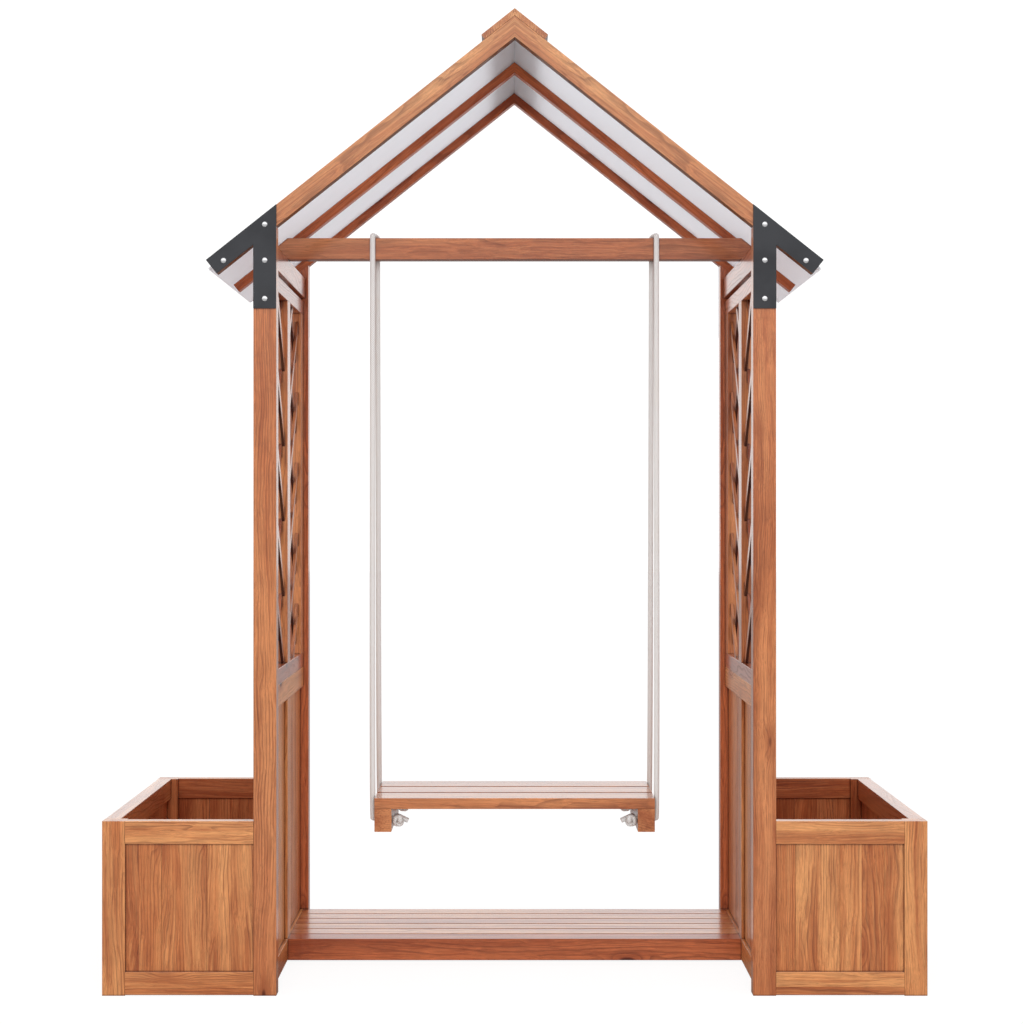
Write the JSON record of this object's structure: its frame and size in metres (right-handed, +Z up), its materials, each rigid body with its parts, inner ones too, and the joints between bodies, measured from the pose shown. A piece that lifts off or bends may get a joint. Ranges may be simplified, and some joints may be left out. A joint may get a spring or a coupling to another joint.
{
  "type": "arbor swing",
  "caption": "Timber garden arbor with a gabled translucent roof, trellis side walls, a rope-hung swing seat over a low deck, and a planter box on each side.",
  "frame": {"origin": "middle of the footprint, on the ground", "axes": "+Z up, +X to the right seen from the front, the front faces -Y"},
  "size_m": [2.048, 0.7264, 2.45],
  "materials": {
    "timber": "oiled hardwood, satin",
    "roof_sheet": "translucent white twin-wall sheet",
    "bracket_steel": "dark grey powder coat",
    "bolt_steel": "plated",
    "rope": "off-white braided rope"
  },
  "bodies": {
    "frame": {"bracket_bolts": "bolt_steel", "bracket_front_left": "bracket_steel", "bracket_front_right": "bracket_steel", "bracket_rear_left": "bracket_steel", "bracket_rear_right": "bracket_steel", "deck_apron": "timber", "deck_bearers": "timber", "deck_boards": "timber", "planter_boards_left": "timber", "planter_boards_right": "timber", "planter_cleats_left": "timber", "planter_cleats_right": "timber", "planter_end_rails_left": "timber", "planter_end_rails_right": "timber", "planter_floor_left": "timber", "planter_floor_right": "timber", "planter_legs_left": "timber", "planter_legs_right": "timber", "planter_side_rails_left": "timber", "planter_side_rails_right": "timber", "post_front_left": "timber", "post_front_right": "timber", "post_rear_left": "timber", "post_rear_right": "timber", "rafter_front_left": "timber", "rafter_front_right": "timber", "rafter_middle_left": "timber", "rafter_middle_right": "timber", "rafter_rear_left": "timber", "rafter_rear_right": "timber", "ridge_cap_left": "timber", "ridge_cap_right": "timber", "roof_sheet_left": "roof_sheet", "roof_sheet_right": "roof_sheet", "swing_beam": "timber", "top_rail_left": "timber", "top_rail_right": "timber", "trellis_rails_left": "timber", "trellis_rails_right": "timber", "trellis_slats_inner_left": "timber", "trellis_slats_inner_right": "timber", "trellis_slats_outer_left": "timber", "trellis_slats_outer_right": "timber", "trellis_stiles_left": "timber", "trellis_stiles_right": "timber", "wall_boards_left": "timber", "wall_boards_right": "timber", "wall_rails_left": "timber", "wall_rails_right": "timber", "wall_stile_left": "timber", "wall_stile_right": "timber"},
    "swing": {"rope_knots": "rope", "rope_left": "rope", "rope_right": "rope", "seat_batten_left": "timber", "seat_batten_right": "timber", "seat_slat_front": "timber", "seat_slat_middle": "timber", "seat_slat_rear": "timber"}
  },
  "joints": [
    {"name": "swing_pivot", "type": "hinge", "parent": "frame", "child": "swing", "pos_m": [0, -0.033, 1.8708], "axis": [1, 0, 0], "range_deg": [-45, 45], "deforming": ["rope_left", "rope_right"]}
  ]
}
